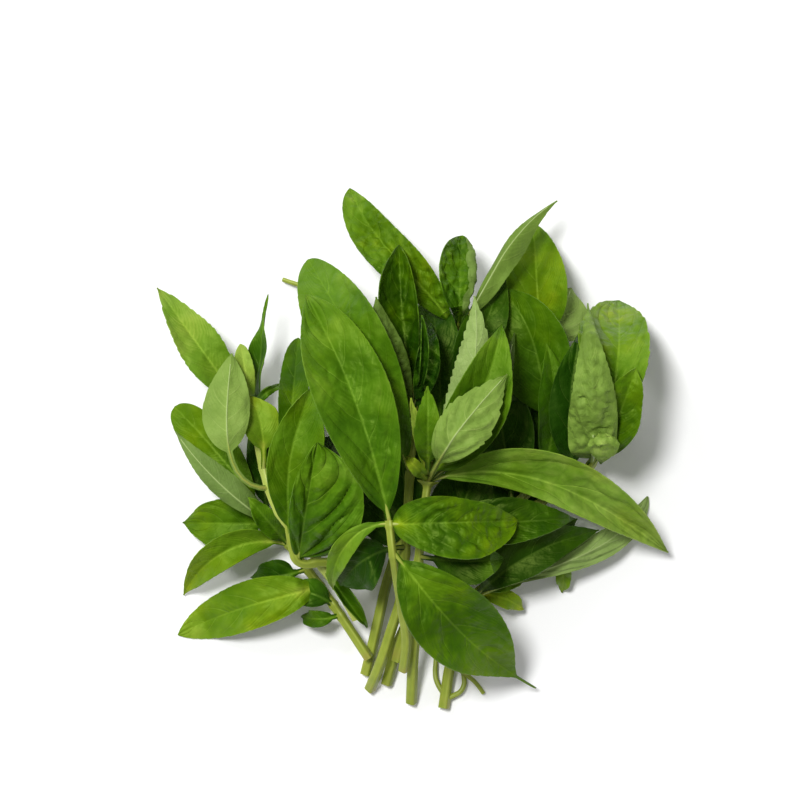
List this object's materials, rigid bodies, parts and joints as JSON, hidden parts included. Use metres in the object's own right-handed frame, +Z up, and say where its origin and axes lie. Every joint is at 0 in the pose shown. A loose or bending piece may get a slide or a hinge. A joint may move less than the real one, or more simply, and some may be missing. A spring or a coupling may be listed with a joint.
{
  "type": "basil bunch",
  "caption": "Loose bunch of cut basil lying down: leafy stems laid one on another, cut ends gathered, ovate leaves fanned out, some turned over or curled.",
  "frame": {"origin": "on the table under the middle of the bunch, at the centre of its outline", "axes": "+Z up, away from the table it lies on; +Y from the cut ends towards the leaf tips at the far side; +X to the right seen from above with the cut ends nearest"},
  "size_m": [0.1807, 0.1838, 0.0588],
  "materials": {
    "leaf_deep": "deep green basil leaf, satin upper side, matte underside",
    "leaf_green": "mid green basil leaf, satin upper side, matte underside",
    "leaf_bright": "young yellow-green basil leaf, satin upper side, pale matte underside"
  },
  "bodies": {
    "root": {"sprig_right_low": "leaf_deep", "sprig_upper_right": "leaf_deep", "sprig_right_top": "leaf_bright", "sprig_upper_left": "leaf_green", "sprig_left_low": "leaf_green", "sprig_left_top": "leaf_bright", "sprig_centre_left": "leaf_deep", "sprig_centre_back": "leaf_green", "sprig_centre_right": "leaf_bright", "sprig_front": "leaf_green"}
  },
  "joints": []
}
